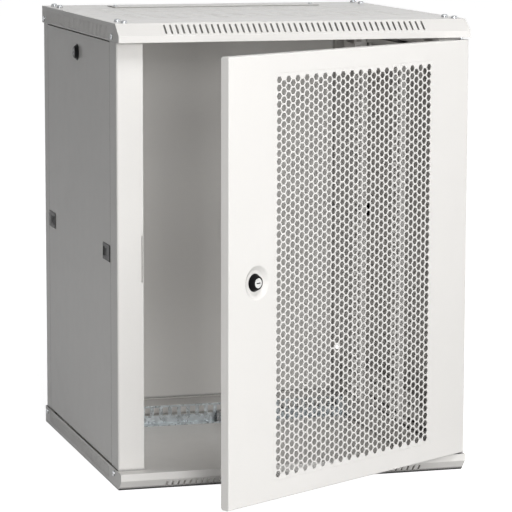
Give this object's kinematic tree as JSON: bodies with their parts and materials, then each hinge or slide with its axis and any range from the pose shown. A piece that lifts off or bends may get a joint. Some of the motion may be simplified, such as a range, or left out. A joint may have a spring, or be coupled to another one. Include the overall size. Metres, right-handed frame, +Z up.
{
  "type": "network server rack cabinet",
  "caption": "Wall-mount 19-inch rack cabinet with a lockable hexagon-perforated swing door, lift-off latched side panels, slotted roof and base, and square-hole rails.",
  "frame": {"origin": "middle of the 600 x 600 mm footprint on the base's underside", "axes": "+X to the cabinet's right as seen from the front (the hinge side), +Y towards the rear panel, +Z up"},
  "size_m": [0.6088, 0.901, 0.7704],
  "materials": {
    "light_grey_paint": "fine satin powder coat, light grey",
    "black_plastic": "black, smooth",
    "galvanised_sheet": "galvanised, dull spangle",
    "bright_plug": "bright turned face",
    "zinc_plated_steel": "bright zinc plate"
  },
  "bodies": {
    "cabinet": {"top_cap": "light_grey_paint", "top_entry_cover": "light_grey_paint", "base_tray": "light_grey_paint", "base_entry_cover": "light_grey_paint", "front_post_left": "light_grey_paint", "front_post_right": "light_grey_paint", "rear_post_left": "light_grey_paint", "rear_post_right": "light_grey_paint", "side_sill_left": "light_grey_paint", "side_sill_right": "light_grey_paint", "side_header_left": "light_grey_paint", "side_header_right": "light_grey_paint", "lower_rail_carrier_left": "light_grey_paint", "lower_rail_carrier_right": "light_grey_paint", "upper_rail_carrier_left": "light_grey_paint", "upper_rail_carrier_right": "light_grey_paint", "front_rail_left": "light_grey_paint", "front_rail_right": "light_grey_paint", "rear_rail_left": "light_grey_paint", "rear_rail_right": "light_grey_paint", "side_panel_left": "light_grey_paint", "side_panel_right": "light_grey_paint", "rear_panel": "light_grey_paint", "latch_housings": "black_plastic", "side_lock_barrels": "black_plastic", "tie_strip": "galvanised_sheet", "earth_stud": "zinc_plated_steel", "earth_nuts": "zinc_plated_steel", "side_lock_nuts": "zinc_plated_steel", "hinge_pin_lower": "zinc_plated_steel", "cap_corner_screws": "zinc_plated_steel", "base_corner_screws": "zinc_plated_steel", "skirt_screws": "zinc_plated_steel", "cover_screws": "zinc_plated_steel", "strip_screws": "zinc_plated_steel", "member_screws": "zinc_plated_steel", "rail_screws": "zinc_plated_steel", "rear_panel_screws": "zinc_plated_steel"},
    "door": {"door_panel": "light_grey_paint", "door_grille": "light_grey_paint", "door_lock_barrel": "black_plastic", "door_lock_nut": "zinc_plated_steel", "hinge_bush": "black_plastic", "hinge_bracket": "zinc_plated_steel", "hinge_spring": "zinc_plated_steel"},
    "door_lock": {"door_lock_plug": "bright_plug", "door_lock_cam": "zinc_plated_steel", "door_lock_screw": "zinc_plated_steel"},
    "upper_hinge_pin": {"hinge_pin_upper": "zinc_plated_steel"},
    "side_lock_left": {"side_lock_plug_left": "bright_plug", "side_lock_cam_left": "zinc_plated_steel", "side_lock_screw_left": "zinc_plated_steel"},
    "front_latch_left": {"front_latch_bolt_left": "black_plastic"},
    "rear_latch_left": {"rear_latch_bolt_left": "black_plastic"},
    "side_lock_right": {"side_lock_plug_right": "bright_plug", "side_lock_cam_right": "zinc_plated_steel", "side_lock_screw_right": "zinc_plated_steel"},
    "front_latch_right": {"front_latch_bolt_right": "black_plastic"},
    "rear_latch_right": {"rear_latch_bolt_right": "black_plastic"}
  },
  "joints": [
    {"name": "door_swing", "type": "hinge", "parent": "cabinet", "child": "door", "pos_m": [0.288, -0.2875, 0.38], "axis": [0, 0, 1], "range_deg": [-31.5, 148.5]},
    {"name": "door_lock_turn", "type": "hinge", "parent": "door", "child": "door_lock", "pos_m": [-0.14916, -0.5636, 0.38148], "axis": [0.5225, -0.8526, 0], "range_deg": [0, 90]},
    {"name": "upper_hinge_release", "type": "slide", "parent": "door", "child": "upper_hinge_pin", "axis": [0, 0, 1], "range_m": [-0.008, 0], "stiffness_N_per_m": 400, "springref_m": 0.004, "deforming": ["hinge_spring"]},
    {"name": "side_lock_turn_left", "type": "hinge", "parent": "cabinet", "child": "side_lock_left", "pos_m": [-0.298, 0.018, 0.70095], "axis": [-1, 0, 0], "range_deg": [0, 90]},
    {"name": "front_latch_slide_left", "type": "slide", "parent": "cabinet", "child": "front_latch_left", "axis": [0, 1, 0], "range_m": [0, 0.007], "stiffness_N_per_m": 300, "springref_m": -0.003},
    {"name": "rear_latch_slide_left", "type": "slide", "parent": "cabinet", "child": "rear_latch_left", "axis": [0, -1, 0], "range_m": [0, 0.007], "stiffness_N_per_m": 300, "springref_m": -0.003},
    {"name": "side_lock_turn_right", "type": "hinge", "parent": "cabinet", "child": "side_lock_right", "pos_m": [0.298, 0.018, 0.70095], "axis": [-1, 0, 0], "range_deg": [0, 90]},
    {"name": "front_latch_slide_right", "type": "slide", "parent": "cabinet", "child": "front_latch_right", "axis": [0, 1, 0], "range_m": [0, 0.007], "stiffness_N_per_m": 300, "springref_m": -0.003},
    {"name": "rear_latch_slide_right", "type": "slide", "parent": "cabinet", "child": "rear_latch_right", "axis": [0, -1, 0], "range_m": [0, 0.007], "stiffness_N_per_m": 300, "springref_m": -0.003}
  ]
}
